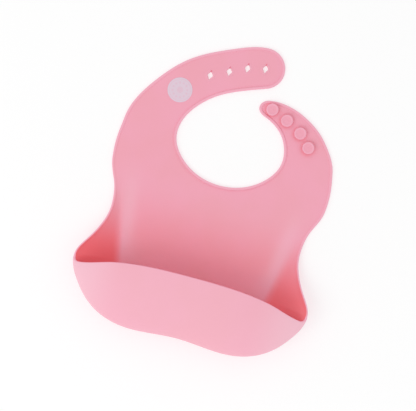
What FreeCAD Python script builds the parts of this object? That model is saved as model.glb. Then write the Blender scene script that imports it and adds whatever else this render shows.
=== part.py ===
import FreeCAD, Part
import math
import os
import Sketcher

# A soft silicone baby bib with a catch-all pocket, lying on its back.
# Frame: +Z up out of the table, +Y from the pocket towards the neck, +X to the right.
# The origin is the middle of the outline, on the table.

# Driving dimensions in millimetres; every one is a cell of the sheet.
SIZES = {
    "overall_width": 235.0,
    "overall_length": 298.5,
    "sheet_thickness": 2.2,
    "pocket_depth": 47.0,
    "corner_depth": 25.0,
    "fold_depth": 20.0,
    "moving_gap": 0.5,
    "stud_neck_radius": 2.3,
    "stud_neck_height": 2.4,
    "stud_head_radius": 6.0,
    "stud_head_height": 2.0,
    "stud_edge_bevel": 0.6,
    "stud_dimple_radius": 4.3,
    "stud_dimple_depth": 0.5,
    "hole_radius": 2.4,
    "slit_length": 8.4,
    "slit_width": 1.6,
    "badge_radius": 12.4,
    "badge_thickness": 0.3,
}

# The outline below is drawn at these overall sizes and scaled to the sheet's.
DRAWN_WIDTH = 235.0
DRAWN_LENGTH = 298.5

# Outline knots: x, y and the heading in degrees at which the edge passes through.
# Two knots in a row are joined by one cubic that is tangent to both headings.
STRAP_LINE = 48.5
EDGE_LEFT = ((-100.0, -11.5, 114), (-106.3, 7.8, 97), (-107.3, 23.3, 90), (-105.0, STRAP_LINE, 84))
NECK = ((-51.6, STRAP_LINE, -90), (-36.3, 21.0, -40), (1.6, 7.8, 0), (39.6, 21.0, 40), (54.8, STRAP_LINE, 90))
EDGE_RIGHT = ((104.9, STRAP_LINE, -78), (108.5, 23.3, -89), (107.6, 7.8, -99), (100.0, -11.5, -114))

HOLE_ROOT_OUTER = ((-105.0, STRAP_LINE, 84), (-87.8, 87.3, 54), (-59.7, 118.1, 38))
HOLE_ROOT_INNER = ((-36.2, 80.3, -134), (-51.6, STRAP_LINE, -90))
HOLE_TAB = ((-59.7, 118.1, 38), (-19.6, 139.7, 23), (14.5, 149.25, 0), (34.7, 129.0, -90), (21.8, 110.8, -160),
            (-14.5, 96.3, -153), (-36.2, 80.3, -134))

STUD_ROOT_INNER = ((54.8, STRAP_LINE, 90), (48.9, 67.5, 122))
STUD_ROOT_OUTER = ((63.7, 94.3, -26), (89.1, 75.7, -50), (104.9, STRAP_LINE, -78))
STUD_TIP = ((48.9, 67.5, 122), (26.8, 84.0, 160), (19.4, 92.0, 90), (27.6, 100.3, 10), (36.9, 101.1, -2),
            (63.7, 94.3, -26))

# The pocket: its crease on the flat panel, its outermost line and its free rim,
# each for the right half only and running from the waist to the middle.
CREASE_CHEEK = ((92.6, -11.5, -103), (75.2, -87.3, -102))
CREASE_FRONT = ((75.2, -87.3, -102), (38.8, -126.1, -172), (0.0, -124.2, 180))
RIM_CHEEK = ((100.0, -11.5, -114), (94.5, -36.9, -90), (102.4, -64.0, -63), (113.5, -81.5, -59), (117.5, -93.1, -90))
RIM_FRONT = ((117.5, -93.1, -90), (112.7, -97.8, 175), (77.6, -90.2, 169), (0.0, -84.9, 180))
FOLD_FRONT = ((117.5, -93.1, -90), (103.8, -122.2, -128), (83.9, -139.7, -150), (45.1, -149.25, 180),
              (0.0, -146.5, 180))

CHEEK_STATIONS = 11
FRONT_STATIONS = 21
NOSE_STATION = 13
WALL_ROWS = 9
FIRST_WALL_STATION = 2
CREASE_ROUNDING = 0.25
UPRIGHT_GAP = 0.03
SLOPE_GAP = 0.5
ARCH_ANGLE = math.radians(81.0)
BOTTOM_FOLD_ROUNDED_BY = 0.5

HOLES = ((-34.9, 109.1), (-17.9, 117.4), (-1.5, 125.1), (15.5, 129.0))
STUDS = ((32.3, 92.6), (48.8, 85.8), (64.5, 77.1), (75.7, 65.5))
BADGE = (-59.7, 87.8)

doc = FreeCAD.newDocument("silicone_bib")
sheet = doc.addObject("Spreadsheet::Sheet", "sizes")
for row, (alias, value) in enumerate(SIZES.items(), start=1):
    sheet.set(f"A{row}", alias)
    sheet.set(f"B{row}", str(value))
    sheet.setAlias(f"B{row}", alias)
doc.recompute()


def size(alias):
    """The value of one cell of the sheet."""
    return float(sheet.get(alias))


def point(x, y, z=0.0):
    """A point of the drawn outline, scaled to the overall size."""
    return FreeCAD.Vector(x * size("overall_width") / DRAWN_WIDTH, y * size("overall_length") / DRAWN_LENGTH, z)


def reversed_mirror(knots):
    """The same curve on the other side of the middle, run the other way."""
    return tuple((-x, y, -heading) for x, y, heading in reversed(knots))


def cubic(start, end):
    """The cubic between two knots: each handle is a third of the chord, longer on a tighter turn."""
    chord = math.hypot(end[0] - start[0], end[1] - start[1])
    turn = abs((end[2] - start[2] + 180.0) % 360.0 - 180.0)
    handle = chord / 3.0 / math.cos(math.radians(turn) / 4.0) ** 2
    a, b = math.radians(start[2]), math.radians(end[2])
    poles = [
        point(start[0], start[1]),
        point(start[0] + handle * math.cos(a), start[1] + handle * math.sin(a)),
        point(end[0] - handle * math.cos(b), end[1] - handle * math.sin(b)),
        point(end[0], end[1]),
    ]
    curve = Part.BezierCurve()
    curve.setPoles(poles)
    return curve


def cubics(knots):
    """One cubic for each pair of neighbouring knots."""
    return [cubic(a, b) for a, b in zip(knots, knots[1:])]


def new_body(name):
    body = doc.addObject("PartDesign::Body", name)
    body.Label = name
    return body


def new_sketch(body, name, plane):
    """A sketch on one of the body's own origin planes."""
    sketch = body.newObject("Sketcher::SketchObject", name)
    support = next(f for f in body.Origin.OriginFeatures if f.Role == plane)
    sketch.AttachmentSupport = (support, "")
    sketch.MapMode = "FlatFace"
    return sketch


def draw_outline(sketch, runs):
    """Draw the runs of knots one after another, joined by straight lines, as one closed outline."""
    for knots, following in zip(runs, runs[1:] + runs[:1]):
        for curve in cubics(knots):
            sketch.addGeometry(curve.toBSpline(), False)
        end, start = point(*knots[-1][:2]), point(*following[0][:2])
        if end.distanceToPoint(start) > 0.001:
            sketch.addGeometry(Part.LineSegment(end, start), False)
    count = sketch.GeometryCount
    for i in range(count):
        sketch.addConstraint(Sketcher.Constraint("Coincident", i, 2, (i + 1) % count, 1))


def make_plate(name, runs):
    """A flat piece of the moulding: a closed outline padded by the sheet's thickness."""
    body = new_body(name)
    sketch = new_sketch(body, f"{name}_outline", "XY_Plane")
    draw_outline(sketch, runs)
    pad = body.newObject("PartDesign::Pad", f"{name}_pad")
    pad.Profile = sketch
    pad.setExpression("Length", "sizes.sheet_thickness")
    doc.recompute()
    return body


def cut_through(body, name, draw):
    """Pocket a sketch, drawn by the function given, right through a plate."""
    before = body.Shape.Volume
    sketch = new_sketch(body, f"{name}_outline", "XY_Plane")
    draw(sketch)
    pocket = body.newObject("PartDesign::Pocket", f"{name}_pocket")
    pocket.Profile = sketch
    pocket.Type = "ThroughAll"
    pocket.Reversed = True
    doc.recompute()
    assert pocket.Shape.Volume < before - 1.0, f"{name} removed nothing"


def draw_holes(sketch):
    """The round middle of every fastening hole."""
    for x, y in HOLES:
        centre = point(x, y)
        i = sketch.addGeometry(Part.Circle(centre, FreeCAD.Vector(0, 0, 1), size("hole_radius")), False)
        sketch.addConstraint(Sketcher.Constraint("DistanceX", -1, 1, i, 3, centre.x))
        sketch.addConstraint(Sketcher.Constraint("DistanceY", -1, 1, i, 3, centre.y))
        radius = sketch.addConstraint(Sketcher.Constraint("Radius", i, size("hole_radius")))
        sketch.setExpression(f"Constraints[{radius}]", "sizes.hole_radius")


def draw_slits(sketch):
    """A slim diamond through every fastening hole: its tips are the slits that let a stud through."""
    for x, y in HOLES:
        centre = point(x, y)
        tip = FreeCAD.Vector(0, size("slit_length") / 2.0, 0)
        side = FreeCAD.Vector(size("slit_width") / 2.0, 0, 0)
        corners = [centre + tip, centre + side, centre - tip, centre - side]
        for a, b in zip(corners, corners[1:] + corners[:1]):
            sketch.addGeometry(Part.LineSegment(a, b), False)


def make_stud(name, place):
    """A mushroom stud: a slim neck and a wide head with a bevelled edge and a shallow dimple."""
    top = "sizes.stud_neck_height + sizes.stud_head_height"
    floor = f"{top} - sizes.stud_dimple_depth"
    corners = (
        ("0", "0"),
        ("sizes.stud_neck_radius", "0"),
        ("sizes.stud_neck_radius", "sizes.stud_neck_height"),
        ("sizes.stud_head_radius", "sizes.stud_neck_height"),
        ("sizes.stud_head_radius", f"{top} - sizes.stud_edge_bevel"),
        ("sizes.stud_head_radius - sizes.stud_edge_bevel", top),
        ("sizes.stud_dimple_radius", top),
        ("sizes.stud_dimple_radius - sizes.stud_dimple_depth", floor),
        ("0", floor),
    )
    body = new_body(name)
    sketch = new_sketch(body, f"{name}_profile", "XZ_Plane")
    draw_profile(sketch, corners)
    turned = body.newObject("PartDesign::Revolution", f"{name}_turned")
    turned.Profile = sketch
    turned.ReferenceAxis = (sketch, ["V_Axis"])
    turned.Angle = 360.0
    doc.recompute()
    body.Placement = FreeCAD.Placement(point(*place, size("sheet_thickness")), FreeCAD.Rotation())
    return body


def draw_profile(sketch, corners):
    """A closed profile of straight lines whose corners are held at expressions of the sheet's cells."""
    places = [FreeCAD.Vector(value(x), value(y), 0) for x, y in corners]
    for a, b in zip(places, places[1:] + places[:1]):
        sketch.addGeometry(Part.LineSegment(a, b), False)
    for i, (x, y) in enumerate(corners):
        sketch.addConstraint(Sketcher.Constraint("Coincident", i - 1 if i else len(corners) - 1, 2, i, 1))
        for kind, text, where in (("DistanceX", x, places[i].x), ("DistanceY", y, places[i].y)):
            held = sketch.addConstraint(Sketcher.Constraint(kind, -1, 1, i, 1, where))
            if text != "0":
                sketch.setExpression(f"Constraints[{held}]", text)


def value(text):
    """The value of a sum or difference of the sheet's cells."""
    total, sign = 0.0, 1.0
    for word in text.split():
        if word in "+-":
            sign = 1.0 if word == "+" else -1.0
        else:
            total += sign * (size(word.replace("sizes.", "")) if "." in word else float(word))
    return total


def make_badge():
    """The thin round print patch on the root of the holed strap."""
    body = new_body("badge_disc")
    sketch = new_sketch(body, "badge_outline", "XY_Plane")
    circle = Part.Circle(FreeCAD.Vector(), FreeCAD.Vector(0, 0, 1), size("badge_radius"))
    i = sketch.addGeometry(circle, False)
    sketch.addConstraint(Sketcher.Constraint("Coincident", i, 3, -1, 1))
    radius = sketch.addConstraint(Sketcher.Constraint("Radius", i, size("badge_radius")))
    sketch.setExpression(f"Constraints[{radius}]", "sizes.badge_radius")
    pad = body.newObject("PartDesign::Pad", "badge_pad")
    pad.Profile = sketch
    pad.setExpression("Length", "sizes.badge_thickness")
    doc.recompute()
    body.Placement = FreeCAD.Placement(point(*BADGE, size("sheet_thickness")), FreeCAD.Rotation())
    return body


def stations(knots, count):
    """Evenly spaced points along a run of knots."""
    return Part.Wire([curve.toShape() for curve in cubics(knots)]).discretize(Number=count)


def smooth(t):
    """Rises from 0 to 1 and is level at both ends."""
    t = min(max(t, 0.0), 1.0)
    return t * t * (3.0 - 2.0 * t)


def held_back(station, roundness):
    """How far, in radians, the side wall stops short of the outermost line under the front wall.

    It grows from nothing on the cheek, past the mouth corner, to its full amount under the
    front wall's first station. station counts from the corner and is negative on the cheek.
    """
    full = UPRIGHT_GAP + SLOPE_GAP * (1.0 - roundness)
    return full * smooth((station + FIRST_WALL_STATION) / (2.0 * FIRST_WALL_STATION))


def lower_row(crease, edge, height, roundness, last):
    """One section of the side wall, from the crease up to the angle last, short of the outermost line.

    rho is how far out it is in plan, from 0 to 1. A flat cheek is a rounded crease
    and a straight slope; a round fold is a quarter of an ellipse, upright at its top.
    """
    row = []
    for j in range(WALL_ROWS):
        theta = last * j / (WALL_ROWS - 1)
        rho = math.sin(theta)
        slope = rho * rho * (1.0 + CREASE_ROUNDING) / (rho + CREASE_ROUNDING)
        rise = (1.0 - roundness) * slope + roundness * (1.0 - math.cos(theta))
        row.append(crease + (edge - crease) * rho + FreeCAD.Vector(0, 0, height * rise))
    return row


def upper_row(edge, rim, fold_height, rim_height):
    """One section of the front wall, arching over from the outermost line to the free rim."""
    row = []
    first = size("moving_gap") / (rim_height - fold_height + size("moving_gap"))
    for j in range(WALL_ROWS):
        arc = ARCH_ANGLE * (first + (1.0 - first) * j / (WALL_ROWS - 1))
        inward = (1.0 - math.cos(arc)) / (1.0 - math.cos(ARCH_ANGLE))
        rise = math.sin(arc) / math.sin(ARCH_ANGLE)
        height = fold_height + (rim_height - fold_height) * rise
        row.append(edge + (rim - edge) * inward + FreeCAD.Vector(0, 0, height))
    return row


def mirrored_rows(rows):
    """The right half's rows, then the left half's, so that they run once round the pocket."""
    left = [[FreeCAD.Vector(-p.x, p.y, p.z) for p in row] for row in reversed(rows[:-1])]
    return rows + left


def side_wall_rows():
    """Sections of the side and bottom wall, from the right waist round to the left one."""
    rows = []
    creases = stations(CREASE_CHEEK, CHEEK_STATIONS)
    rims = stations(RIM_CHEEK, CHEEK_STATIONS)
    for i, (crease, rim) in enumerate(zip(creases, rims)):
        along = i / (CHEEK_STATIONS - 1)
        last = math.pi / 2.0 - held_back(i - CHEEK_STATIONS + 1, 0.0)
        rows.append(lower_row(crease, rim, size("corner_depth") * along ** 1.5, 0.0, last))
    creases = stations(CREASE_FRONT, FRONT_STATIONS)
    folds = stations(FOLD_FRONT, FRONT_STATIONS)
    for i in range(1, FRONT_STATIONS):
        along = i / (FRONT_STATIONS - 1)
        roundness = smooth(along / BOTTOM_FOLD_ROUNDED_BY)
        last = math.pi / 2.0 - held_back(i, roundness)
        rows.append(lower_row(creases[i], folds[i], fold_height(along), roundness, last))
    return mirrored_rows(rows)


def fold_height(along):
    """Height of the outermost line: the corner's depth at the mouth, less at the middle."""
    return size("fold_depth") + (size("corner_depth") - size("fold_depth")) * (1.0 - along) ** 2


def front_wall_rows():
    """Sections of the front wall, from just past the right mouth corner to just past the left one."""
    rows = []
    folds = stations(FOLD_FRONT, FRONT_STATIONS)
    rims = stations(RIM_FRONT, FRONT_STATIONS)
    for i in range(FIRST_WALL_STATION, FRONT_STATIONS):
        along = i / (FRONT_STATIONS - 1)
        climb = (size("pocket_depth") - size("corner_depth")) * (1.0 - (1.0 - along) ** 3)
        rows.append(upper_row(folds[i], rims[i], fold_height(along), size("corner_depth") + climb))
    return mirrored_rows(rows)


def tangent(points, i):
    """Direction of a row of points at one of them, by the parabola through the nearest three."""
    if i == 0:
        return points[1] * 4.0 - points[0] * 3.0 - points[2]
    if i == len(points) - 1:
        return points[-1] * 3.0 - points[-2] * 4.0 + points[-3]
    return points[i + 1] - points[i - 1]


def thickened(rows):
    """The same grid moved into the pocket by the sheet's thickness along the surface's normal."""
    inner = []
    for i, row in enumerate(rows):
        moved = []
        for j, place in enumerate(row):
            normal = tangent([other[j] for other in rows], i).cross(tangent(row, j))
            moved.append(place + normal.normalize() * size("sheet_thickness"))
        inner.append(moved)
    return inner


def skin(rows):
    """A smooth surface through a grid of points."""
    surface = Part.BSplineSurface()
    surface.interpolate(rows)
    return surface


def border(surface):
    """The four edge curves of a surface."""
    u_first, u_last, v_first, v_last = surface.bounds()
    return [surface.uIso(u_first), surface.uIso(u_last), surface.vIso(v_first), surface.vIso(v_last)]


def make_wall(name, outer, inner):
    """A wall of the pocket: two smooth skins and the four ruled bands round them, sewn into one solid."""
    skins = [skin(outer), skin(inner)]
    faces = [surface.toShape() for surface in skins]
    for a, b in zip(border(skins[0]), border(skins[1])):
        faces.append(Part.makeRuledSurface(a.toShape(), b.toShape()))
    shell = Part.makeShell(faces)
    shell.sewShape(0.001)
    solid = Part.Solid(Part.Shell(shell.Faces))
    if solid.Volume < 0.0:
        solid.reverse()
    wall = doc.addObject("Part::Feature", name)
    wall.Label = name
    wall.Shape = solid
    wall.Placement = FreeCAD.Placement()
    return wall


crease_right = CREASE_CHEEK + CREASE_FRONT[1:]
panel_runs = [NECK, EDGE_RIGHT, crease_right + reversed_mirror(crease_right)[1:], EDGE_LEFT]

nodes = [
    make_plate("chest_panel", panel_runs),
    make_plate("hole_strap_root", [HOLE_ROOT_OUTER, HOLE_ROOT_INNER]),
    make_plate("hole_strap_tab", [HOLE_TAB]),
    make_plate("stud_strap_root", [STUD_ROOT_INNER, STUD_ROOT_OUTER]),
    make_plate("stud_strap_tip", [STUD_TIP]),
    make_badge(),
]
cut_through(nodes[2], "round_hole", draw_holes)
cut_through(nodes[2], "slit", draw_slits)
nodes += [make_stud(f"stud_{i}", place) for i, place in enumerate(STUDS, start=1)]

side_rows = side_wall_rows()
side_inner = thickened(side_rows)
turn = CHEEK_STATIONS - 1 + NOSE_STATION
far_turn = len(side_rows) - 1 - turn
front_rows = front_wall_rows()
nodes += [
    make_wall("pocket_gusset_right", side_rows[:turn + 1], side_inner[:turn + 1]),
    make_wall("pocket_bottom_wall", side_rows[turn:far_turn + 1], side_inner[turn:far_turn + 1]),
    make_wall("pocket_gusset_left", side_rows[far_turn:], side_inner[far_turn:]),
    make_wall("pocket_front_wall", front_rows, thickened(front_rows)),
]
doc.recompute()

for thing in doc.Objects:
    assert not {"Invalid", "Error"} & set(thing.State), f"{thing.Name}: {thing.State}"

os.makedirs("parts", exist_ok=True)
for node in nodes:
    shape = node.Shape
    assert not shape.isNull() and shape.isValid(), f"{node.Label} is not a valid shape"
    assert len(shape.Solids) == 1, f"{node.Label} is not one solid"
    shape.exportStep(f"parts/{node.Label}.step")
    box = shape.BoundBox
    print(f"{node.Label}: {shape.Volume / 1000:.2f} cm3, "
          f"x {box.XMin:.1f}..{box.XMax:.1f}, y {box.YMin:.1f}..{box.YMax:.1f}, z {box.ZMin:.2f}..{box.ZMax:.2f}")
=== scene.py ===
# %% [markdown]
# # A soft silicone baby bib
# The bib lies on its back on a white table. It is one moulding in pink silicone: a flat chest panel
# whose lower end turns up into an open pocket, a long strap with four holes and a short strap with
# four studs. A CAD frame holds its sizes, its bodies and its hinges. This script makes the surfaces
# that are seen, ties the studs and the print to their bodies, and hides the CAD parts they replace.

import math

import bmesh
import bpy
import numpy as np
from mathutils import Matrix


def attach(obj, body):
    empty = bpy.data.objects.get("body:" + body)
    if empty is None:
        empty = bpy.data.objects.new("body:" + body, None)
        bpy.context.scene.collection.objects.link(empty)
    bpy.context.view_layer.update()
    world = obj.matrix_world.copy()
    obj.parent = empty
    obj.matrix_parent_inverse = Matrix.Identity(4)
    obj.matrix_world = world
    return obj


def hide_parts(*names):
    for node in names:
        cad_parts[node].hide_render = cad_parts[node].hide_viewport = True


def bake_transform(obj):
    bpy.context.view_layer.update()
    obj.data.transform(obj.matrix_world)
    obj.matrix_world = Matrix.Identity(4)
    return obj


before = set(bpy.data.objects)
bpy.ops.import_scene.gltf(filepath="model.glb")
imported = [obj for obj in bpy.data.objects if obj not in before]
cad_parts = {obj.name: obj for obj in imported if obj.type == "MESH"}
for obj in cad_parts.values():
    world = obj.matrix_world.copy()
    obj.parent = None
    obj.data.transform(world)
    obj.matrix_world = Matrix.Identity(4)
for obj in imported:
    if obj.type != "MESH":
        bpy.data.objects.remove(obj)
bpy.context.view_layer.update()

# %% [markdown]
# ## Sizes
# The moulding is drawn in millimetres, as on its maker's drawing, and turned into metres only when a
# mesh is made. The sheet is 2.2 mm thick. Its edges are rounded and carry a low raised bead, which
# stops a soft edge from tearing.

# %% Sizes of the moulding
MM = 0.001
SHEET = 2.2
EDGE_BULGE = 0.9
POCKET_DEPTH = 47.0
CORNER_DEPTH = 25.0
FOLD_DEPTH = 20.0
STRAP_LINE = 48.5
print("sheet", SHEET, "mm, pocket", POCKET_DEPTH, "mm deep")

# %% [markdown]
# ## Drawing a smooth outline from a few knots
# An outline is a short list of knots: a place and the heading in which the edge passes through it.
# Two neighbouring knots are joined by a cubic whose handles are a third of the chord, a little more
# on a tight turn, which comes very close to a circular arc. Few knots keep the curve fair.

# %% Curves through knots
def cubic(start, end, steps=60):
    """Points on the cubic between two knots (x, y, heading in degrees).

    The weights of the four poles at t are (1-t)^3, 3t(1-t)^2, 3t^2(1-t) and t^3.
    """
    a, b = np.array(start[:2]), np.array(end[:2])
    turn = abs((end[2] - start[2] + 180) % 360 - 180)
    handle = np.linalg.norm(b - a) / 3 / math.cos(math.radians(turn) / 4) ** 2
    leaving, arriving = (
        handle * np.array([math.cos(math.radians(knot[2])), math.sin(math.radians(knot[2]))])
        for knot in (start, end)
    )
    t = np.linspace(0, 1, steps)[:, None]
    first_half = (1 - t) ** 3 * a + 3 * t * (1 - t) ** 2 * (a + leaving)
    second_half = 3 * t**2 * (1 - t) * (b - arriving) + t**3 * b
    return first_half + second_half


def curve(knots):
    """All the cubics of a run of knots, end to end, as one fine line of points."""
    spans = [cubic(a, b) for a, b in zip(knots, knots[1:])]
    return np.vstack([spans[0]] + [span[1:] for span in spans[1:]])


def lengths(line):
    """Distance along a line of points, from its first point to each."""
    steps = np.linalg.norm(np.diff(line, axis=0), axis=1)
    return np.concatenate([[0.0], np.cumsum(steps)])


def at_distances(line, s, where):
    """The points of a line at the given distances, when s holds the distance of each of its points."""
    return np.stack([np.interp(where, s, line[:, k]) for k in range(line.shape[1])], axis=1)


def along(line, where):
    """The points at the given shares, 0 to 1, of a line's length."""
    s = lengths(line)
    return at_distances(line, s, np.asarray(where) * s[-1])


def smooth(t):
    """Rises from 0 to 1 as t does, level at both ends: 3t^2 - 2t^3."""
    t = np.clip(t, 0.0, 1.0)
    return t * t * (3 - 2 * t)


# %% [markdown]
# ## The outline's knots
# The pocket is symmetric, so its knots are written for the right half only. The chest isn't quite:
# the side with the studs is a little wider at the shoulder than the side with the holes. Each list is
# one edge or one line of the moulding: the long outer edge, the neck, the crease where the pocket's
# wall leaves the flat panel, the rim, and the outermost line where the wall turns over.

# %% Knots: x, y and heading in degrees
EDGE = ((100.0, -11.5, 66), (106.3, 7.8, 83), (107.3, 23.3, 90), (105.0, STRAP_LINE, 96))
EDGE_STUD_SIDE = ((100.0, -11.5, 66), (107.6, 7.8, 81), (108.5, 23.3, 91), (104.9, STRAP_LINE, 102))
NECK_RIGHT = ((54.8, STRAP_LINE, -90), (39.6, 21.0, -140), (1.6, 7.8, 180))
NECK_LEFT_MIRRORED = ((51.6, STRAP_LINE, -90), (36.3, 21.0, -140), (-1.6, 7.8, 180))
CREASE_CHEEK = ((92.6, -11.5, -103), (75.2, -87.3, -102))
CREASE_FRONT = ((75.2, -87.3, -102), (38.8, -126.1, -172), (0.0, -124.2, 180))
RIM_CHEEK = ((100.0, -11.5, -114), (95.4, -36.9, -90), (103.2, -64.0, -63),
             (113.8, -81.5, -59), (117.5, -93.1, -90))
RIM_FRONT = ((117.5, -93.1, -90), (111.2, -98.5, 174), (77.6, -90.2, 169), (0.0, -84.9, 180))
FOLD_FRONT = ((117.5, -93.1, -90), (103.8, -122.2, -128), (83.9, -139.7, -150),
              (45.1, -149.25, 180), (0.0, -146.5, 180))
print("rim from corner to middle:", round(lengths(curve(RIM_FRONT))[-1], 1), "mm")

# %% [markdown]
# ## From one skin to a closed sheet
# Every part of the moulding is a sheet between two free edges. Only its outer skin is drawn, as a
# grid: one line of the grid is a section from one edge to the other. The inner skin lies one
# thickness away along the normal, and a half-round closes each edge. Beads are only more thickness
# near an edge, so they follow every outline by themselves.

# %% Beads and closed loops
BEAD_STEPS = np.array([0.0, 0.2, 0.45, 0.75, 1.0, 1.25, 1.5, 1.75, 2.0, 2.25, 2.5, 2.8, 3.1, 3.5, 4.2])
BEAD_FALL = 0.7
GROOVE_AWAY = 1.0
GROOVE_WIDTH = 0.35
GROOVE_SHARE = 0.2
HALF_ROUND_STEPS = 7


def bead(distance, height, width):
    """Extra thickness near an edge: full height as far as width, a steep fall, then a fine groove."""
    fall = 1.0 - smooth((distance - width) / BEAD_FALL)
    groove = np.exp(-(((distance - width - GROOVE_AWAY) / GROOVE_WIDTH) ** 2))
    return height * (fall - GROOVE_SHARE * groove)


def unit(v):
    """Vectors of length one."""
    return v / np.maximum(np.linalg.norm(v, axis=-1, keepdims=True), 1e-9)


def normals(grid):
    """Normals of a grid, from the cross product of its two directions."""
    return unit(np.cross(np.gradient(grid, axis=1), np.gradient(grid, axis=0)))


def closed_loops(outer, normal, thickness, steps=HALF_ROUND_STEPS):
    """One closed loop a section: the outer skin, a half-round, the inner skin and a half-round.

    A half-round goes from skin to skin: the middle of the edge, plus half the thickness times the
    sine along the normal, plus the bulge times the cosine out of the edge.
    """
    inner = outer + normal * thickness[..., None]
    angle = np.radians(np.linspace(-90, 90, steps + 2)[1:-1])[None, :, None]

    def half_round(edge, beside):
        out = unit(outer[:, edge] - outer[:, beside])[:, None]
        middle = ((outer[:, edge] + inner[:, edge]) / 2)[:, None]
        half = (thickness[:, edge, None] / 2 * normal[:, edge])[:, None]
        return middle + half * np.sin(angle) + out * EDGE_BULGE * np.cos(angle)

    far_edge, near_edge = half_round(-1, -2), half_round(0, 1)[:, ::-1]
    return np.concatenate([outer, far_edge, inner[:, ::-1], near_edge], axis=1)


def in_loops(on_outer, on_inner, on_edge=1.0, steps=HALF_ROUND_STEPS):
    """A mark for every point of the closed loops: outer skin, edge, inner skin, edge."""
    edge = np.full((on_outer.shape[0], steps), on_edge)
    return np.concatenate([on_outer, edge, on_inner[:, ::-1], edge], axis=1)


# %% [markdown]
# ## From rows of points to a mesh
# One function makes every mesh here, so all of them are closed and face outwards. Points that fall
# on each other, such as those on the axis of a turned shape, are merged at the end. Each piece says
# how many edges are open, which must be none, and how much silicone it holds.

# %% Closed meshes
MERGE_DISTANCE = 2e-6
SHARP_ANGLE = math.radians(50)


def make_mesh(name, rows, marks, lathe=False):
    """A closed mesh from rows of points, each row joined to the next by quads.

    A sheet's rows are closed loops, with a flat face over the first and the last. A lathe's rows are
    profiles from axis to axis, and its last row joins its first. Marks are numbers kept at the points.
    """
    steps, count = rows.shape[:2]
    last_row, last_point = (steps, count - 1) if lathe else (steps - 1, count)
    i, j = np.meshgrid(np.arange(last_row), np.arange(last_point), indexing="ij")
    near, far, across = i * count, (i + 1) % steps * count, (j + 1) % count
    faces = np.stack([near + j, near + across, far + across, far + j], axis=-1).reshape(-1, 4).tolist()
    if not lathe:
        faces.append(list(range(count))[::-1])
        faces.append(list(range((steps - 1) * count, steps * count)))
    mesh = bpy.data.meshes.new(name)
    mesh.from_pydata((rows.reshape(-1, 3) * MM).tolist(), [], faces)
    for mark, values in marks.items():
        full = np.broadcast_to(values, rows.shape[:2]).astype(np.float32).ravel()
        mesh.attributes.new(mark, "FLOAT", "POINT").data.foreach_set("value", full)
    piece = bpy.data.objects.new(name, mesh)
    bpy.context.scene.collection.objects.link(piece)
    clean(piece)
    return piece


def clean(piece):
    """Merge points that coincide, point the faces outwards, shade smooth and say what was made."""
    work = bmesh.new()
    work.from_mesh(piece.data)
    bmesh.ops.remove_doubles(work, verts=work.verts, dist=MERGE_DISTANCE)
    bmesh.ops.dissolve_degenerate(work, edges=work.edges, dist=MERGE_DISTANCE / 2)
    if work.calc_volume(signed=True) < 0:
        bmesh.ops.reverse_faces(work, faces=work.faces)
    open_edges = sum(1 for edge in work.edges if len(edge.link_faces) != 2)
    volume = work.calc_volume() * 1e6
    work.to_mesh(piece.data)
    work.free()
    piece.data.shade_smooth()
    piece.data.set_sharp_from_angle(angle=SHARP_ANGLE)
    made = f"{len(piece.data.polygons)} faces, {open_edges} open edges, {volume:.1f} cm3"
    print(f"{piece.name}: {made}")


# %% [markdown]
# ## The chest panel and its pocket
# The panel and the pocket are one sheet between two free edges: the neck edge, and the long edge
# that runs down one side, over the rim of the pocket and up the other side. A section leaves the
# neck, crosses the flat panel to the crease, and climbs the wall. On the cheeks the wall ends at the
# free edge. Along the bottom it turns over the outermost line and comes back to the rim.
# Sampling each section evenly by its length lets the cheek and the front share one grid.

# %% Heights and sections of the pocket's wall
CHEEK_SECTIONS = 44
FRONT_SECTIONS = 84
SHOULDER_SECTIONS = 22
CREASE_ROUNDING = 0.25
ARCH = math.radians(81)
FOLD_SOFTNESS = 2.4


def fold_height(t):
    """Height of the outermost line: t runs from 0 at the mouth corner to 1 in the middle."""
    return FOLD_DEPTH + (CORNER_DEPTH - FOLD_DEPTH) * (1 - t) ** 2


def rim_height(t):
    """Height of the rim: it climbs fast out of the corner and is level in the middle."""
    return CORNER_DEPTH + (POCKET_DEPTH - CORNER_DEPTH) * (1 - (1 - t) ** 3)


def climb(crease, edge, height, roundness, samples=90):
    """The side wall from crease to edge. In plan it goes out by rho = sin(angle).

    Its height is a mix: rho^2 (1+c) / (rho+c) is a rounded crease and a straight slope, and
    1 - cos(angle) is a quarter of an ellipse, upright at the edge.
    """
    angle = np.linspace(0, math.pi / 2, samples)[None, :]
    rho = np.sin(angle)
    slope = rho**2 * (1 + CREASE_ROUNDING) / (rho + CREASE_ROUNDING)
    rise = (1 - roundness[:, None]) * slope + roundness[:, None] * (1 - np.cos(angle))
    plan = crease[:, None] + (edge - crease)[:, None] * rho[..., None]
    return np.concatenate([plan, (height[:, None] * rise)[..., None]], axis=-1)


def arch(edge, rim, low, high, samples=120):
    """The front wall from the outermost line to the rim: sine up, one minus cosine inwards."""
    angle = np.linspace(0, ARCH, samples)[None, :]
    inward = (1 - np.cos(angle)) / (1 - math.cos(ARCH))
    rise = np.sin(angle) / math.sin(ARCH)
    plan = edge[:, None] + (rim - edge)[:, None] * inward[..., None]
    return np.concatenate([plan, (low[:, None] + (high - low)[:, None] * rise)[..., None]], axis=-1)


def softened(line, reach):
    """A line of points with its tight turns rounded: a moving average over reach millimetres.

    Both ends are first continued straight, so that they stay where they are.
    """
    length = lengths(line)[-1]
    count = 400
    even = along(line, np.linspace(0, 1, count))
    half = max(int(reach / length * count), 1)
    before = 2 * even[0] - even[half:0:-1]
    after = 2 * even[-1] - even[-2:-half - 2:-1]
    padded = np.vstack([before, even, after])
    window = np.hanning(2 * half + 3)[1:-1]
    window /= window.sum()
    return np.stack([np.convolve(padded[:, k], window, mode="valid") for k in range(3)], axis=1)


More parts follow.
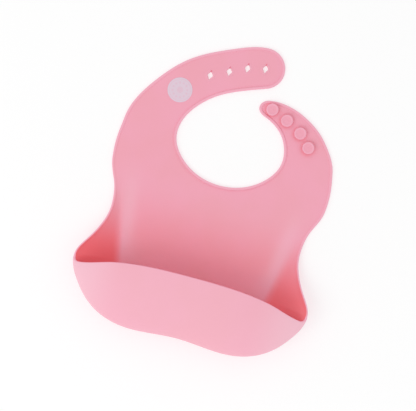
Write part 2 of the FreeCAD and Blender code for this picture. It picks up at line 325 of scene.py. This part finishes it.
# %% [markdown]
# ## One half, from the strap line to the middle
# Above the pocket the edge lies on the table, so the wall part of a section is only its last few
# flat millimetres. The sections crowd towards the mouth corner, where the wall turns fastest. The
# left half is made like the right one and mirrored.

# %% Sections of one half
EDGE_STRIP = 7.4
CORNER_CROWDING = 1.35
NECK_CROWDING = 1.15
CHEEK_RISE = 1.5


def half_sections(shoulder_knots, neck_knots):
    """Sections of one half, drawn on the right, each as its start on the neck edge and its wall."""
    early = np.linspace(0, 1, FRONT_SECTIONS) ** CORNER_CROWDING
    cheek = np.linspace(0, 1, CHEEK_SECTIONS)
    shoulder = along(curve(shoulder_knots)[::-1], np.linspace(0, 1, SHOULDER_SECTIONS))
    rim_cheek = along(curve(RIM_CHEEK), cheek)
    crease_cheek = along(curve(CREASE_CHEEK), cheek)
    front_lines = (CREASE_FRONT, FOLD_FRONT, RIM_FRONT)
    crease_front, fold, rim = (along(curve(knots), early) for knots in front_lines)

    cheek_height = CORNER_DEPTH * cheek**CHEEK_RISE
    cheek_wall = climb(crease_cheek, rim_cheek, cheek_height, np.zeros(CHEEK_SECTIONS))
    low = climb(crease_front, fold, fold_height(early), smooth(early / 0.5))
    high = arch(fold, rim, fold_height(early), rim_height(early))
    front_wall = np.concatenate([low, high[:, 1:]], axis=1)

    total = SHOULDER_SECTIONS + CHEEK_SECTIONS + FRONT_SECTIONS - 2
    neck = along(curve(neck_knots), np.linspace(0, 1, total) ** NECK_CROWDING)
    walls = []
    for edge, across in zip(shoulder[:-1], neck):
        start = edge + unit(across - edge) * EDGE_STRIP
        walls.append(np.linspace(np.append(start, 0), np.append(edge, 0), 40))
    walls += [softened(wall, FOLD_SOFTNESS) for wall in (*cheek_wall, *front_wall[1:])]
    return list(zip(neck, walls))


right = half_sections(EDGE_STUD_SIDE, NECK_RIGHT)
left = half_sections(EDGE, NECK_LEFT_MIRRORED)
mirror = np.array([-1.0, 1.0, 1.0])
sections = [(start * mirror[:2], wall * mirror) for start, wall in left] + right[::-1][1:]
print(len(sections), "sections round the panel and pocket")

# %% [markdown]
# ## The panel's grid
# Each section is cut at the same number of places: fine steps across the bead at the neck, a few
# over the flat middle, many up the wall, and fine steps again at the free edge. Every point also
# keeps its distance from both edges and from the crease, which place the beads and the colours.

# %% Sample every section
FLAT_SAMPLES = 60
FLAT_COLUMNS = 42
WALL_COLUMNS = 63
LEAST_SKEW = 0.55


def sampled_section(neck, wall, neck_skew, rim_skew):
    """One section of the outer skin: its points, and their distances from both edges and the crease.

    Skew is the sine of the angle between the section and the edge. Dividing by it puts the bead's
    samples at true distances from the edge, even where a section meets its edge at a slant.
    """
    start = np.append(neck, 0.0)
    line = np.vstack([np.linspace(start, wall[0], FLAT_SAMPLES)[:-1], wall])
    s = lengths(line)
    flat = s[FLAT_SAMPLES - 1]
    near = (BEAD_STEPS + EDGE_BULGE) / neck_skew
    far = s[-1] - (BEAD_STEPS[::-1] + EDGE_BULGE) / rim_skew
    middle = np.linspace(near[-1], flat, FLAT_COLUMNS + 2)[1:-1]
    climbing = flat + (far[0] - flat) * np.linspace(0, 1, WALL_COLUMNS + 1)[:-1]
    where = np.concatenate([near, middle, climbing, far])
    from_neck = where * neck_skew - EDGE_BULGE
    from_rim = (s[-1] - where) * rim_skew - EDGE_BULGE
    return at_distances(line, s, where), from_neck, from_rim, where - flat


def skews(sections):
    """Sine of the angle between each section and its two edges: the length of a cross product."""
    neck = np.array([np.append(start, 0) for start, wall in sections])
    rim = np.array([wall[-1] for start, wall in sections])
    leaving = unit(np.array([wall[0] for start, wall in sections]) - neck)
    arriving = unit(np.array([wall[-1] - wall[-6] for start, wall in sections]))
    sines = []
    for edge, direction in ((neck, leaving), (rim, arriving)):
        sine = np.linalg.norm(np.cross(unit(np.gradient(edge, axis=0)), direction), axis=1)
        sines.append(np.clip(sine, LEAST_SKEW, 1))
    return sines


sampled = [sampled_section(start, wall, neck_skew, rim_skew)
           for (start, wall), neck_skew, rim_skew in zip(sections, *skews(sections))]
panel_skin, from_neck, from_rim, past_crease = (np.array(part) for part in zip(*sampled))
panel_normal = normals(panel_skin)
on_table = panel_skin[..., 2] < 1e-6
panel_normal[on_table] = (0, 0, 1)
print("panel grid:", panel_skin.shape[:2])

# %% [markdown]
# ## Thickness of the panel
# The moulding's beads differ from edge to edge. The neck's is the highest, because it bears on the
# skin. Round the straps it is lower, and it runs on down the side with the studs. The pocket's rim
# has next to none. A section's place says which of these edges it ends on: 0 is the middle of the
# pocket and 1 is the strap line.

# %% Beads on the panel
NECK_BEAD = (0.9, 1.5)
SIDE_BEAD = (0.5, 1.3)
RIM_BEAD = (0.3, 1.2)
BEAD_RUNS_OUT = 0.86
RUNS_ON_DOWN = 0.1
EDGE_LIGHT_REACH = 1.9

count = len(sections)
middle = (count - 1) / 2
section_place = np.abs(np.arange(count) - middle) / middle
on_right = np.arange(count) > middle + 0.5
side_edge = smooth((section_place - BEAD_RUNS_OUT + RUNS_ON_DOWN * on_right) / 0.1)[:, None]
edge_bead = bead(from_rim, *SIDE_BEAD) * side_edge + bead(from_rim, *RIM_BEAD) * (1 - side_edge)
thickness = SHEET + bead(from_neck, *NECK_BEAD) + edge_bead
panel_loops = closed_loops(panel_skin, panel_normal, thickness)
print("panel:", round(thickness.min(), 2), "to", round(thickness.max(), 2), "mm thick")

# %% [markdown]
# ## Painted light and shade on the panel
# Three numbers are kept at the points, and each paints light or shade into the colour. The first is
# painted red shade, where light has bounced inside the pocket or come through its side walls. The
# second is painted paler light on the beads. The third is painted paler light on the outside of the
# front wall, and on a band beside each crease, where the sheet starts to turn up. The shape alone
# doesn't give these, because light that travels inside the sheet isn't followed.

# %% Marks on the panel
front_share = (FRONT_SECTIONS - 1) / middle
x, y = panel_skin[..., 0], panel_skin[..., 1]

# Painted red shade: down the pocket's cheeks and on the panel inside it, less in front and on the
# right.
shade_down_pocket = smooth((-10.0 - y) / 78.0) ** 1.25
less_shade_on_right = 1 - 0.14 * smooth(0.5 + x / 60.0)
less_shade_in_front = 1 - 0.5 * smooth((front_share - section_place) / 0.3)[:, None]
cheek_shade = smooth((past_crease + 9.0) / 17.0) * less_shade_in_front * less_shade_on_right
between_creases = 1 - np.exp(-((np.minimum(past_crease + 4.0, 0) / 26.0) ** 2))
fades_at_rim = 1 - 0.5 * smooth((-66.0 - y) / 26.0)
panel_shade = 0.3 * smooth((-5.0 - y) / 60.0) * fades_at_rim * between_creases
painted_red_shade_mark = in_loops(0 * y, np.maximum(cheek_shade * shade_down_pocket, panel_shade), on_edge=0.0)

# Painted paler light on the beads at the neck, down the sides and along the rim.
neck_edge_light = smooth((EDGE_LIGHT_REACH - from_neck) / 1.5)
side_edge_light = side_edge * smooth((EDGE_LIGHT_REACH - from_rim) / 1.5)
rim_edge_light = 0.6 * (1 - side_edge) * smooth((0.9 - from_rim) / 0.8)
painted_edge_light = np.maximum(neck_edge_light, side_edge_light + rim_edge_light)
painted_edge_light_mark = in_loops(painted_edge_light, painted_edge_light)

# Painted paler light on the outside of the front wall, most towards its ends, and beside each crease.
on_front = smooth((front_share - section_place) / 0.06)[:, None] * smooth(past_crease / 20.0)
outside = on_front * (0.36 + 0.55 * smooth((np.abs(x) - 62.0) / 50.0))
painted_pale_band = 0.3 * np.exp(-(((past_crease + 16.0) / 13.0) ** 2))
painted_pale_band *= smooth((18.0 - y) / 50.0) * smooth((y + 100.0) / 60.0)
painted_light_mark = in_loops(outside, painted_pale_band, on_edge=0.0)

panel_marks = {"painted_red_shade": painted_red_shade_mark, "painted_edge_light": painted_edge_light_mark, "front": painted_light_mark}
panel = make_mesh("chest_and_pocket", panel_loops, panel_marks)

# %% [markdown]
# ## The straps
# A strap is a flat sheet between its inner and its outer edge. Each strap is two pieces, parted at
# its fold line, because a piece can bend across one hinge only. Towards a strap's round tip the
# sections swing round until they run along the edge's normal, so the bead goes round the tip.

# %% Strap sheets
STRAP_SECTIONS = 120
STRAP_COLUMNS = 34
TIP_CROWDING = 1.15
TIP_BEAD = (0.6, 1.4)
FAR_FROM_EDGE = 99.0


def strap_skin(inner_edge, outer_edge, round_tip, columns):
    """Lower skin of a strap piece, with each point's distance from its two edges.

    A section runs in from each edge for five millimetres, then straight to the other edge's one.
    """
    t = np.linspace(0, 1, STRAP_SECTIONS)
    t = 1 - (1 - t) ** TIP_CROWDING if round_tip else t
    edges = [along(curve(inner_edge), t), along(curve(outer_edge), t)]
    across = unit(edges[1] - edges[0] + 1e-9)
    ends, skew = [], []
    for side, edge in zip((1, -1), edges):
        tangent = unit(np.gradient(edge, axis=0))
        inward = side * across
        square = np.stack([tangent[:, 1], -tangent[:, 0]], axis=1)
        square *= np.sign((square[0] * inward[0]).sum())
        if round_tip:
            swing = smooth((t - 0.35) / 0.4)[:, None]
            inward = unit(inward * (1 - swing) + square * swing)
        sine = np.abs(inward[:, 0] * tangent[:, 1] - inward[:, 1] * tangent[:, 0])
        skew.append(np.clip(sine, 0.6, 1))
        ends.append(inward)
    if round_tip:
        ends[0][-1] = ends[1][-1] = unit(ends[0][-1] + ends[1][-1])
        skew[0][-1] = skew[1][-1] = 1.0
    steps = (BEAD_STEPS + EDGE_BULGE)[None, :, None]
    near = edges[0][:, None] + ends[0][:, None] * steps / skew[0][:, None, None]
    far = edges[1][:, None] + ends[1][:, None] * steps[:, ::-1] / skew[1][:, None, None]
    share = np.linspace(0, 1, columns)[None, 1:-1, None]
    middle = near[:, -1:] * (1 - share) + far[:, :1] * share
    skin = np.concatenate([near, middle, far], axis=1)
    skin = np.concatenate([skin, np.zeros(skin.shape[:2] + (1,))], axis=2)
    elsewhere = np.full(share.shape[1] + len(BEAD_STEPS), FAR_FROM_EDGE)
    from_inner = np.concatenate([BEAD_STEPS, elsewhere])
    from_outer = np.concatenate([elsewhere, BEAD_STEPS[::-1]])
    return skin, from_inner, from_outer, t


def strap_thickness(from_inner, from_outer, t, round_tip):
    """Sheet plus the neck's bead and the outer edge's, which become one and the same round the tip."""
    to_tip = smooth((t - 0.6) / 0.4)[:, None] * round_tip
    thickness = SHEET
    for distance, edge_bead in ((from_inner, NECK_BEAD), (from_outer, SIDE_BEAD)):
        height, width = (a * (1 - to_tip) + b * to_tip for a, b in zip(edge_bead, TIP_BEAD))
        thickness = thickness + bead(distance[None], height, width)
    return thickness


def no_relief(x, y):
    """Nothing at all, for a plain strap."""
    return 0 * x


def make_strap(name, inner_edge, outer_edge, round_tip=False, columns=STRAP_COLUMNS,
               raised=no_relief, shaded=no_relief):
    """A closed strap piece.

    Raised and shaded are functions of the place. They say where the front face stands higher, by up
    to RIM_HEIGHT, and where red shade is painted on it.
    """
    skin, from_inner, from_outer, t = strap_skin(inner_edge, outer_edge, round_tip, columns)
    x, y = skin[..., 0], skin[..., 1]
    ridge = raised(x, y)
    thickness = strap_thickness(from_inner, from_outer, t, round_tip) + RIM_HEIGHT * ridge
    up = np.zeros_like(skin)
    up[..., 2] = 1
    # Painted paler light on the beads and the hole rims, and painted red shade on the front face.
    painted_edge_light = smooth((EDGE_LIGHT_REACH - np.minimum(from_inner, from_outer)) / 1.5)
    painted_edge_light = np.broadcast_to(painted_edge_light, thickness.shape)
    painted_red_shade = in_loops(0 * x, shaded(x, y), on_edge=0.0)
    marks = {"painted_red_shade": painted_red_shade, "painted_edge_light": in_loops(painted_edge_light, np.maximum(painted_edge_light, ridge)), "front": 0.0}
    return make_mesh(name, closed_loops(skin, up, thickness), marks)


# %% [markdown]
# ## The star holes
# Each hole is round, as wide as a stud's neck, with a slit up and down so that the stud's head can
# spread it. A low rim round it takes the strain. The rim is part of the sheet's thickness. The hole
# itself is cut afterwards, because a grid has no room for a hole: a star-shaped plug, flared where it
# passes both faces so that the cut edge is rounded, is taken away with a Boolean.

# %% Places and shape of the star holes, in mm
HOLES = ((-34.9, 109.1), (-17.9, 117.4), (-1.5, 125.1), (15.5, 129.0))
HOLE_RADIUS = 2.25
RIM_HEIGHT = 0.6
RIDGE_AWAY = 1.1
RIDGE_WIDTH = 0.55
FLARE = 0.5
FLARE_DEPTH = 0.55
FRONT_FACE = 2.4
GROOVE_FLOOR = 0.5


def star_radius(angle, groove=0.0):
    """A circle drawn out by cos^6 sideways, sin^12 down and sin^8 up, and by sin^60 in the groove."""
    sine = np.abs(np.sin(angle))
    drawn_out = np.where(np.sin(angle) < 0, 1.7 * sine**12, 0.9 * sine**8 + 2.0 * groove * sine**60)
    return HOLE_RADIUS * (1 + 0.14 * np.abs(np.cos(angle)) ** 6) + drawn_out


def hole_rim(x, y):
    """A ridge round each star, from 0 to 1: exp(-((d - 1.1) / 0.55)^2) at distance d outside it."""
    total = np.zeros_like(x)
    for hx, hy in HOLES:
        outside = np.hypot(x - hx, y - hy) - star_radius(np.arctan2(y - hy, x - hx))
        total += np.exp(-(((outside - RIDGE_AWAY) / RIDGE_WIDTH) ** 2))
    return total


def star_plug(centre):
    """A plug through the sheet: the star's outline, widened by a quarter circle near both faces.

    The slit's upper end is only a groove in the front face, so it is in shade.
    """
    angle = np.linspace(0, 2 * np.pi, 241)[:-1]
    height = np.array([-0.4, 0.0, 0.12, 0.3, 0.55, 0.7, 1.1, 1.65, 2.0, 2.25, 2.5, 2.9])
    near_face = np.clip(1 - np.minimum(height, FRONT_FACE - height) / FLARE_DEPTH, 0, 1)
    flare = FLARE * (1 - np.sqrt(1 - near_face**2))
    groove = smooth((height - GROOVE_FLOOR) / 0.3)[:, None]
    radius = star_radius(angle[None], groove) + flare[:, None]
    ring = np.stack([centre[0] + radius * np.cos(angle), centre[1] + radius * np.sin(angle),
                     np.broadcast_to(height[:, None], radius.shape)], axis=-1)
    # Painted red shade on the groove's walls; all the plug's walls, which become the hole's, get
    # painted paler light.
    shade = np.broadcast_to(smooth((np.sin(angle) - 0.9) / 0.08), radius.shape)
    return make_mesh("star_plug", ring, {"painted_red_shade": shade, "painted_edge_light": 0.4, "front": 0.0})


def cut(piece, plugs):
    """Take the plugs away from the piece, apply it, and delete the plugs."""
    for plug in plugs:
        taken = piece.modifiers.new(plug.name, "BOOLEAN")
        taken.solver = "EXACT"
        taken.object = plug
    view = bpy.context.evaluated_depsgraph_get()
    finished = bpy.data.meshes.new_from_object(piece.evaluated_get(view))
    piece.modifiers.clear()
    piece.data = finished
    for plug in plugs:
        bpy.data.objects.remove(plug)
    clean(piece)


# %% [markdown]
# ## The four strap pieces
# Light that reaches the strap under a stud's head has passed through silicone, so it is red. It
# comes from the upper side, so the shade lies a little towards the neck. The tip of the stud strap is
# slim, so its middle takes fewer columns than the others.

# %% Make the four strap pieces
STUDS = ((32.3, 92.6), (48.8, 85.8), (64.5, 77.1), (75.7, 65.5))
SHADE = 0.25
SHADE_SHIFT = (-0.5, -0.9)
SHADE_RADIUS = 5.4
SHADE_WIDTH = 2.3


def under_heads(x, y):
    """A soft ring of shade round each stud: exp(-((d - 5.4) / 2.3)^2) at distance d from its middle."""
    total = np.zeros_like(x)
    for stud_x, stud_y in STUDS:
        distance = np.hypot(x - stud_x - SHADE_SHIFT[0], y - stud_y - SHADE_SHIFT[1])
        total += SHADE * np.exp(-(((distance - SHADE_RADIUS) / SHADE_WIDTH) ** 2))
    return total


hole_root = make_strap(
    "hole_strap_bend",
    ((-51.6, STRAP_LINE, 90), (-36.2, 80.3, 46)),
    ((-105.0, STRAP_LINE, 84), (-87.8, 87.3, 54), (-59.7, 118.1, 38)),
)
hole_tab = make_strap(
    "hole_strap_end",
    ((-36.2, 80.3, 46), (-14.5, 96.3, 27), (21.8, 110.8, 20), (34.7, 129.0, 90)),
    ((-59.7, 118.1, 38), (-19.6, 139.7, 23), (14.5, 149.25, 0), (34.7, 129.0, -90)),
    round_tip=True,
    raised=hole_rim,
)
cut(hole_tab, [star_plug(centre) for centre in HOLES])
stud_root = make_strap(
    "stud_strap_bend",
    ((54.8, STRAP_LINE, 90), (48.9, 67.5, 122)),
    ((104.9, STRAP_LINE, 102), (89.1, 75.7, 130), (63.7, 94.3, 154)),
    shaded=under_heads,
)
stud_tip = make_strap(
    "stud_strap_end",
    ((48.9, 67.5, 122), (26.8, 84.0, 160), (19.4, 92.0, 90)),
    ((63.7, 94.3, 154), (36.9, 101.1, 178), (27.6, 100.3, 190), (19.4, 92.0, -90)),
    round_tip=True,
    columns=12,
    shaded=under_heads,
)

# %% [markdown]
# ## Studs and print
# A stud is a mushroom: a fillet where it grows out of the strap, a neck as thick as the sheet it goes
# through, and a head with a soft rim round a shallow dimple, where a finger pushes. The print is a
# thin round film with a soft edge. Both are turned shapes, so each is one profile carried round an
# axis, from the axis at the top to the axis at the bottom.

# %% Turned shapes
STUD_PROFILE = ((0.0, 6.2, 0), (0.8, 6.14, -30), (1.5, 5.98, -3), (3.3, 6.06, 3), (4.6, 6.52, 25),
                (5.15, 6.6, -10), (6.0, 5.7, -90), (5.2, 4.75, 186), (3.0, 4.6, 180), (2.3, 4.0, -90),
                (2.3, 2.9, -90), (3.0, 2.2, -12), (3.0, 2.0, 180), (0.0, 2.0, 180))
BADGE = (-59.7, 87.8)
BADGE_PROFILE = ((0.0, 2.5, 0), (12.0, 2.48, -4), (12.4, 2.2, -90), (12.3, 2.1, 180),
                 (0.0, 2.1, 180))


def turned(name, profile, centre, points, turns, marks):
    """The profile (radius, height) carried round a vertical axis: x = r cos(a), y = r sin(a).

    Each mark is a function of the radius and the height.
    """
    line = along(curve(profile), np.linspace(0, 1, points))
    angle = np.linspace(0, 2 * np.pi, turns + 1)[:-1, None]
    radius, height = np.maximum(line[None, :, 0], 0), line[None, :, 1]
    rows = np.stack([centre[0] + radius * np.cos(angle), centre[1] + radius * np.sin(angle),
                     np.broadcast_to(height, (turns, points))], axis=-1)
    at_points = {mark: value(radius, height) for mark, value in marks.items()}
    return make_mesh(name, rows, at_points, lathe=True)


def painted_head_rim_light(radius, height):
    """Painted paler light: most on the rim of the head, 0 in the dimple and on the neck."""
    return 0.8 * smooth((radius - 3.6) / 0.9) * smooth((height - 4.9) / 0.8)


stud_marks = {"painted_red_shade": no_relief, "painted_edge_light": painted_head_rim_light, "front": no_relief}
studs = [turned(f"stud_{number}_head", STUD_PROFILE, centre, 76, 64, stud_marks)
         for number, centre in enumerate(STUDS, 1)]
badge = turned("badge_film", BADGE_PROFILE, BADGE, 40, 96, {})

# %% [markdown]
# ## Shader maths as plain expressions
# A small class wraps a socket, so that `a * 0.5 + b` adds the Math nodes that it means. One function
# makes every node: its settings go in first, because they decide which sockets it has.

# %% Sockets with arithmetic
class Wire:
    """A value in a material. Plus, minus and times on it each add one Math node."""

    def __init__(self, tree, socket):
        self.tree, self.socket = tree, socket

    def math(self, operation, *others):
        """One Math node, with this value first."""
        return math_node(self.tree, operation, self, *others)

    def __add__(self, other):
        return self.math("ADD", other)

    def __sub__(self, other):
        return self.math("SUBTRACT", other)

    def __rsub__(self, other):
        return math_node(self.tree, "SUBTRACT", other, self)

    def __mul__(self, other):
        return self.math("MULTIPLY", other)

    __radd__, __rmul__ = __add__, __mul__

    def between(self, low, high):
        """Rises smoothly from 0 at low to 1 at high."""
        return node(self.tree, "ShaderNodeMapRange", {"interpolation_type": "SMOOTHSTEP"},
                    {"Value": self, "From Min": low, "From Max": high})

    def out(self, name):
        """Another output of the same node."""
        return Wire(self.tree, self.socket.node.outputs[name])


def feed(tree, socket, value):
    """Give a socket a wire or a number."""
    if isinstance(value, Wire):
        tree.links.new(value.socket, socket)
    else:
        socket.default_value = value


def node(tree, kind, settings=None, inputs=None):
    """Add one node, set it up, feed its sockets, and return its first live output."""
    made = tree.nodes.new(kind)
    for name, value in (settings or {}).items():
        setattr(made, name, value)
    for key, value in (inputs or {}).items():
        feed(tree, made.inputs[key], value)
    outputs = [socket for socket in made.outputs if socket.enabled]
    return Wire(tree, outputs[0]) if outputs else None


def math_node(tree, operation, *values):
    """One Math node on values in their order."""
    return node(tree, "ShaderNodeMath", {"operation": operation}, dict(enumerate(values)))


def new_material(name):
    """An empty material and its node tree."""
    material = bpy.data.materials.new(name)
    material.use_nodes = True
    material.node_tree.nodes.clear()
    return material, material.node_tree


def mix_color(tree, factor, a, b):
    """Colour a, going over to colour b as factor rises: sockets 6 and 7 of Mix are its colours."""
    return node(tree, "ShaderNodeMix", {"data_type": "RGBA"}, {0: factor, 6: a, 7: b})


def noise(tree, position, scale, detail=2.0, roughness=0.5):
    """Soft random blotches, 0 to 1, about one over scale metres across."""
    return node(tree, "ShaderNodeTexNoise", {}, {
        "Vector": position, "Scale": scale, "Detail": detail, "Roughness": roughness})


def mark(tree, name):
    """A number kept at the mesh's points."""
    return node(tree, "ShaderNodeAttribute", {"attribute_name": name}).out("Fac")


# %% [markdown]
# ## Pink silicone
# Silicone is pigmented all through. It hardly absorbs red, so red light bounces about inside the
# pocket and comes through its thin side walls, and those turn a deep warm red, while green and blue
# die out; that red is painted into the colour as shade. A free edge scatters more light and looks
# paler, and that light is painted too. The surface is matt from the mould, with a satin grain and
# slow unevenness. The three marks kept at the points say where light and shade are painted.

# %% Silicone material
# Own tones first; then painted light on the front wall and the edges, and painted red shade.
PINK = (0.960, 0.418, 0.532, 1)
PINK_SHIFTED = (0.945, 0.410, 0.503, 1)
PAINTED_LIGHT_PINK = (0.970, 0.570, 0.665, 1)
EDGE_LIGHT_PINK = (0.975, 0.480, 0.600, 1)
PAINTED_SHADE_RED = (0.985, 0.130, 0.145, 1)

silicone, tree = new_material("pink_silicone")
position = node(tree, "ShaderNodeTexCoord").out("Object")
blotches = noise(tree, position, 22.0)
color = mix_color(tree, blotches.between(0.35, 0.68), PINK, PINK_SHIFTED)
# Painted light and shade: paler light on the front wall and by the creases, on the beads, and red
# shade.
color = mix_color(tree, mark(tree, "front"), color, PAINTED_LIGHT_PINK)
color = mix_color(tree, mark(tree, "painted_edge_light") * 0.75, color, EDGE_LIGHT_PINK)
color = mix_color(tree, mark(tree, "painted_red_shade") * 0.85, color, PAINTED_SHADE_RED)
grain = noise(tree, position, 1900.0, 3.0, 0.6)
flow = noise(tree, position, 90.0)
roughness = 0.44 + 0.10 * flow + 0.06 * grain
fine = node(tree, "ShaderNodeBump", {}, {"Strength": 0.18, "Distance": 0.00006, "Height": grain})
slow = node(tree, "ShaderNodeBump", {}, {
    "Strength": 0.35, "Distance": 0.0006, "Height": flow, "Normal": fine})
satin = node(tree, "ShaderNodeBsdfPrincipled", {}, {
    "Base Color": color, "Roughness": roughness, "Normal": slow, "IOR": 1.41,
    "Specular IOR Level": 0.35, "Sheen Weight": 0.06, "Sheen Roughness": 0.5,
    "Sheen Tint": (1.0, 0.85, 0.9, 1)})
node(tree, "ShaderNodeOutputMaterial", {}, {"Surface": satin})
print("silicone:", len(tree.nodes), "nodes")

# %% [markdown]
# ## The print
# The round print is a thin lilac film of ink that lets the pink through. Its motif is plain: a ring of
# dots round a larger dot. The dots are made from the distance to twelve points at once: the angle is
# folded into one twelfth of a turn.

# %% Print material
PRINT_LILAC = (0.800, 0.640, 0.745, 1)
PRINT_DOTS = (0.840, 0.540, 0.655, 1)
DOTS = 12
RING_RADIUS = 0.0072

print_film, tree = new_material("badge_print")
position = node(tree, "ShaderNodeTexCoord").out("Object")
centred = node(tree, "ShaderNodeVectorMath", {"operation": "SUBTRACT"},
               {0: position, 1: (BADGE[0] * MM, BADGE[1] * MM, 0)})
parts = node(tree, "ShaderNodeSeparateXYZ", {}, {0: centred})
x, y = parts.out("X"), parts.out("Y")
radius = (x * x + y * y).math("SQRT")
sector = 2 * math.pi / DOTS
folded = y.math("ARCTAN2", x).math("FLOORED_MODULO", sector) - sector / 2
across = radius * folded.math("SINE")
outward = radius * folded.math("COSINE") - RING_RADIUS
ring_of_dots = 1 - (across * across + outward * outward).math("SQRT").between(0.0009, 0.0012)
middle_dot = 1 - radius.between(0.0028, 0.0032)
edge_line = radius.between(0.0100, 0.0103) * (1 - radius.between(0.0106, 0.0109))
motif = ring_of_dots.math("MAXIMUM", middle_dot).math("MAXIMUM", edge_line)
speckle = noise(tree, position, 2500.0)
ink = mix_color(tree, motif * 0.5 + speckle * 0.14, PRINT_LILAC, PRINT_DOTS)
relief = node(tree, "ShaderNodeBump", {}, {
    "Strength": 0.25, "Distance": 0.0001, "Height": speckle + motif})
film = node(tree, "ShaderNodeBsdfPrincipled", {}, {
    "Base Color": ink, "Roughness": 0.5 + 0.1 * speckle, "Normal": relief, "Specular IOR Level": 0.35})
node(tree, "ShaderNodeOutputMaterial", {}, {"Surface": film})
print("print:", len(tree.nodes), "nodes")

# %% [markdown]
# ## Tie the pieces to the bodies
# A rigid piece rides on its body: the studs and the print are tied to theirs. The panel with its
# pocket and the four strap pieces are tied to no body here; each only takes the place of its CAD
# nodes, which are hidden, and has its place baked into its mesh. Each strap is two pieces because it
# has two hinges.

# %% Finish, slots and bodies
def bend(piece, first, second, start, direction, reach, *nodes):
    """Hide the CAD nodes that the piece stands for, and bake its place into its mesh."""
    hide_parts(*nodes)
    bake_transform(piece)


soft_pieces = [panel, hole_root, hole_tab, stud_root, stud_tip, *studs]
for piece in soft_pieces:
    piece.data.materials.clear()
    piece.data.materials.append(silicone)
badge.data.materials.append(print_film)

STRAP_START = (0, STRAP_LINE * MM, 0)
ALONG_STRAPS = (0, 1, 0)
HOLE_FOLD, ALONG_HOLES = (-0.04795, 0.0992, 0), (0.84926, 0.52798, 0)
STUD_FOLD, ALONG_STUDS = (0.0563, 0.0809, 0), (-0.87538, 0.48343, 0)

bend(panel, "bib", "pocket_front", (0, 0, 0.003), (0, 0, 1), 0.037,
     "chest_panel", "pocket_bottom_wall", "pocket_gusset_left", "pocket_gusset_right",
     "pocket_front_wall")
bend(hole_root, "bib", "hole_strap", STRAP_START, ALONG_STRAPS, 0.025, "hole_strap_root")
bend(hole_tab, "hole_strap", "hole_tab", HOLE_FOLD, ALONG_HOLES, 0.020, "hole_strap_tab")
bend(stud_root, "bib", "stud_strap", STRAP_START, ALONG_STRAPS, 0.013, "stud_strap_root")
bend(stud_tip, "stud_strap", "stud_tip", STUD_FOLD, ALONG_STUDS, 0.0065, "stud_strap_tip")
stud_bodies = ("stud_tip", "stud_tip", "stud_strap", "stud_strap")
for number, (stud, body) in enumerate(zip(studs, stud_bodies), 1):
    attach(stud, body)
    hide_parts(f"stud_{number}")
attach(badge, "hole_strap")
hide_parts("badge_disc")

# %% [markdown]
# ## Table
# The table is a plain white board that glows a little, as an evenly lit white table does in a bright
# room. A real table could be lit from all sides to look this white; a little glow does the same.

# %% White table
TABLE_HALF = 2.5
white, tree = new_material("white_table")
position = node(tree, "ShaderNodeTexCoord").out("Object")
board = node(tree, "ShaderNodeBsdfPrincipled", {}, {
    "Base Color": (0.62, 0.62, 0.62, 1), "Roughness": 0.55 + 0.1 * noise(tree, position, 60.0),
    "Specular IOR Level": 0.2, "Emission Color": (1, 1, 1, 1), "Emission Strength": 0.42})
node(tree, "ShaderNodeOutputMaterial", {}, {"Surface": board})
corners = [(x * TABLE_HALF, y * TABLE_HALF, 0) for x, y in ((-1, -1), (1, -1), (1, 1), (-1, 1))]
table_mesh = bpy.data.meshes.new("white_table")
table_mesh.from_pydata(corners, [], [(0, 1, 2, 3)])
table_mesh.materials.append(white)
table = bpy.data.objects.new("white_table", table_mesh)
bpy.context.scene.collection.objects.link(table)

# %% [markdown]
# ## Light
# The sky alone would leave the pocket without shape, and the lamp alone would throw a hard shadow.
# Together they give soft shade inside the pocket and next to none on the table. The picture keeps
# its colours as they are, so that the white table stays white.

# %% Sky and soft light
SKY_STRENGTH = 0.805
sky = bpy.data.worlds.new("pale_sky")
bpy.context.scene.world = sky
sky.use_nodes = True
background = sky.node_tree.nodes["Background"]
background.inputs["Color"].default_value = (1.0, 1.0, 1.0, 1)
background.inputs["Strength"].default_value = SKY_STRENGTH


def soft_light(name, place, size, power):
    """A square light of the given size in metres and power in watts, turned towards the origin.

    From place (x, y, z) it is tilted by the angle whose tangent is hypot(x, y) / z, then turned
    about the vertical by the angle whose tangent is x / -y.
    """
    lamp = bpy.data.lights.new(name, "AREA")
    lamp.shape, lamp.size, lamp.energy = "SQUARE", size, power
    holder = bpy.data.objects.new(name, lamp)
    holder.location = place
    x, y, z = place
    holder.rotation_euler = (math.atan2(math.hypot(x, y), z), 0, math.atan2(x, -y))
    bpy.context.scene.collection.objects.link(holder)


soft_light("key_light", (-0.75, -1.05, 1.5), 1.3, 6.5)
bpy.context.scene.view_settings.view_transform = "Standard"

# %% [markdown]
# ## Camera
# The camera looks straight down from far away with a long lens, so nothing leans, and is turned by
# 15 degrees, so the bib lies askew in the picture. The field's width sets the lens: the sensor's
# width times the distance, over the field's width.

# %% Camera
CAMERA_TURN = math.radians(15.1)
CAMERA_HEIGHT = 4.0
FIELD_WIDTH = 0.4055
lens = bpy.data.cameras.new("camera")
lens.sensor_width = 36
lens.lens = lens.sensor_width * CAMERA_HEIGHT / FIELD_WIDTH
lens.clip_end = 50
camera = bpy.data.objects.new("camera", lens)
camera.location = (-0.0040, -0.0139, CAMERA_HEIGHT)
camera.rotation_euler = (0, 0, CAMERA_TURN)
bpy.context.scene.collection.objects.link(camera)
bpy.context.scene.camera = camera
print("lens", round(lens.lens), "mm at", CAMERA_HEIGHT, "m")
